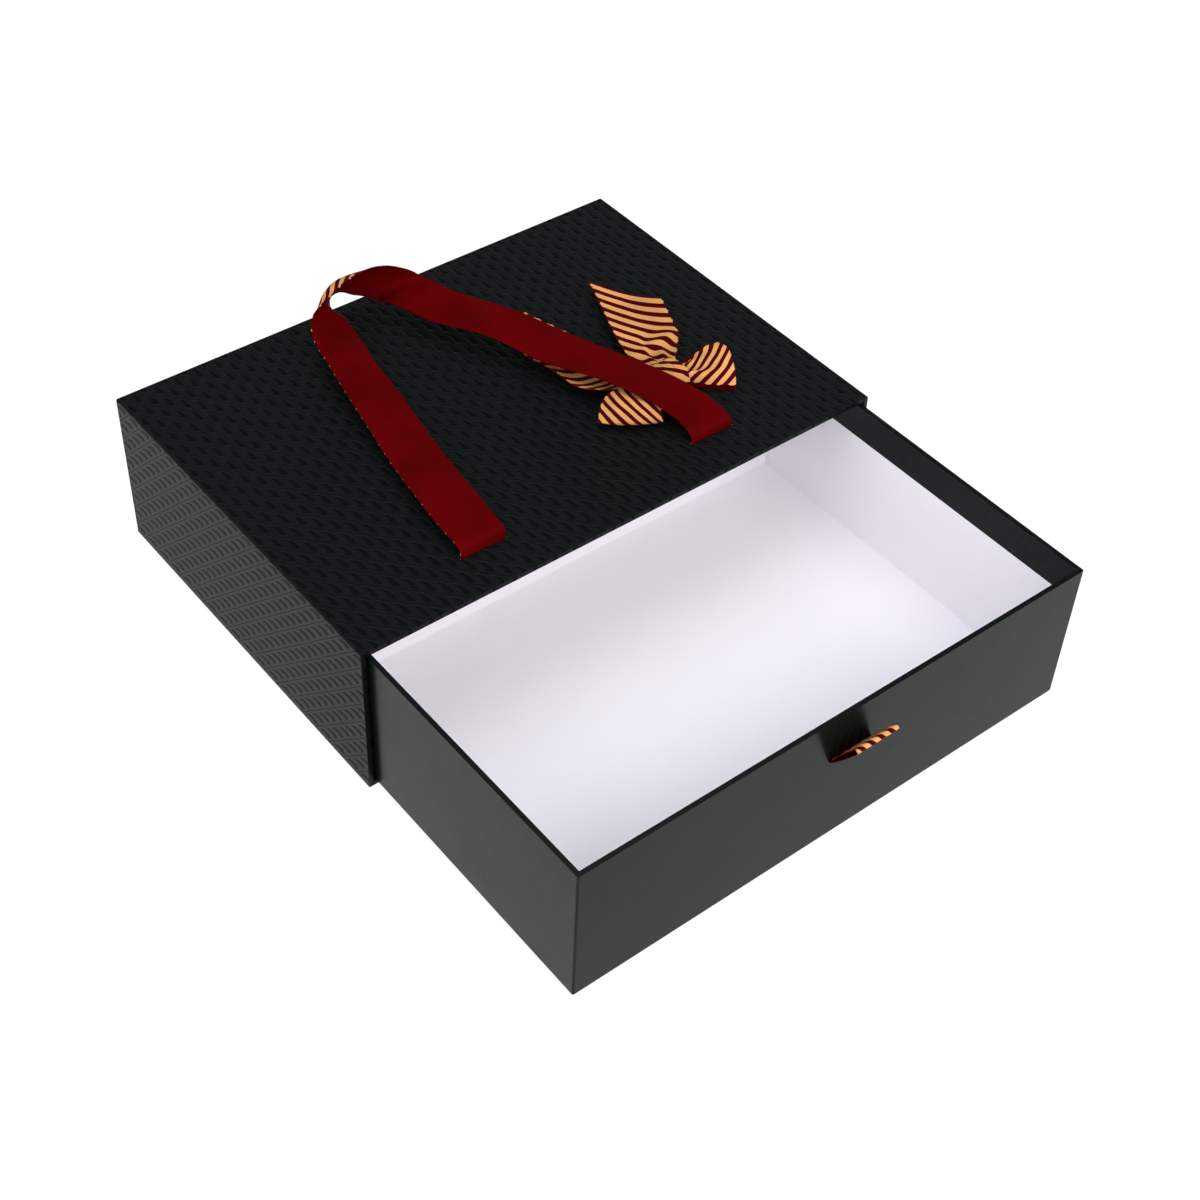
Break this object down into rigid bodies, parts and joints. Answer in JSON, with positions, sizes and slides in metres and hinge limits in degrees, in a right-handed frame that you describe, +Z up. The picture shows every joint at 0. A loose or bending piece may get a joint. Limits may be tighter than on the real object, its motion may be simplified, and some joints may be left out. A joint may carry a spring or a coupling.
{
  "type": "sliding drawer gift box",
  "caption": "Rigid papered gift box: a lined tray slides out of a flat sleeve that carries a ribbon carrying handle, a tied ribbon bow and a ribbon pull.",
  "frame": {"origin": "centre of the sleeve's base, where it rests on the table", "axes": "+Z up, -Y out of the sleeve's mouth (the way the tray slides out), +X to the right as seen from the front"},
  "size_m": [0.3, 0.3788, 0.1167],
  "materials": {
    "greyboard": "matte",
    "embossed_black_paper": "satin",
    "smooth_black_paper": "satin",
    "black_paper_sheet": "matte",
    "black_lining_paper": "matte",
    "white_lining_paper": "matte",
    "gummed_paper_tape": "satin",
    "striped_grosgrain": "matte",
    "hot_glue": "satin"
  },
  "bodies": {
    "sleeve": {"sleeve_top_board": "greyboard", "sleeve_bottom_board": "greyboard", "sleeve_left_board": "greyboard", "sleeve_right_board": "greyboard", "sleeve_back_board": "greyboard", "sleeve_wrap": "embossed_black_paper", "sleeve_base_sheet": "black_paper_sheet", "sleeve_corner_tapes": "gummed_paper_tape", "sleeve_lining": "black_lining_paper", "handle_end_left": "striped_grosgrain", "handle_patch_left": "black_lining_paper", "handle_end_right": "striped_grosgrain", "handle_patch_right": "black_lining_paper", "bow_loops": "striped_grosgrain", "bow_tails": "striped_grosgrain", "bow_knot": "striped_grosgrain", "bow_glue_pad": "hot_glue"},
    "tray": {"tray_base_board": "greyboard", "tray_front_board": "greyboard", "tray_back_board": "greyboard", "tray_left_board": "greyboard", "tray_right_board": "greyboard", "tray_corner_tapes": "gummed_paper_tape", "tray_wrap": "smooth_black_paper", "tray_wall_lining": "white_lining_paper", "tray_floor_lining": "white_lining_paper", "pull_ribbon": "striped_grosgrain", "pull_patch": "white_lining_paper"},
    "handle": {"handle_ribbon": "striped_grosgrain"}
  },
  "joints": [
    {"name": "tray_slide", "type": "slide", "parent": "sleeve", "child": "tray", "axis": [0, -1, 0], "range_m": [-0.147, 0.068]},
    {"name": "handle_lift", "type": "hinge", "parent": "sleeve", "child": "handle", "pos_m": [0, -0.0835, 0.087], "axis": [1, 0, 0], "range_deg": [0, 85]}
  ]
}
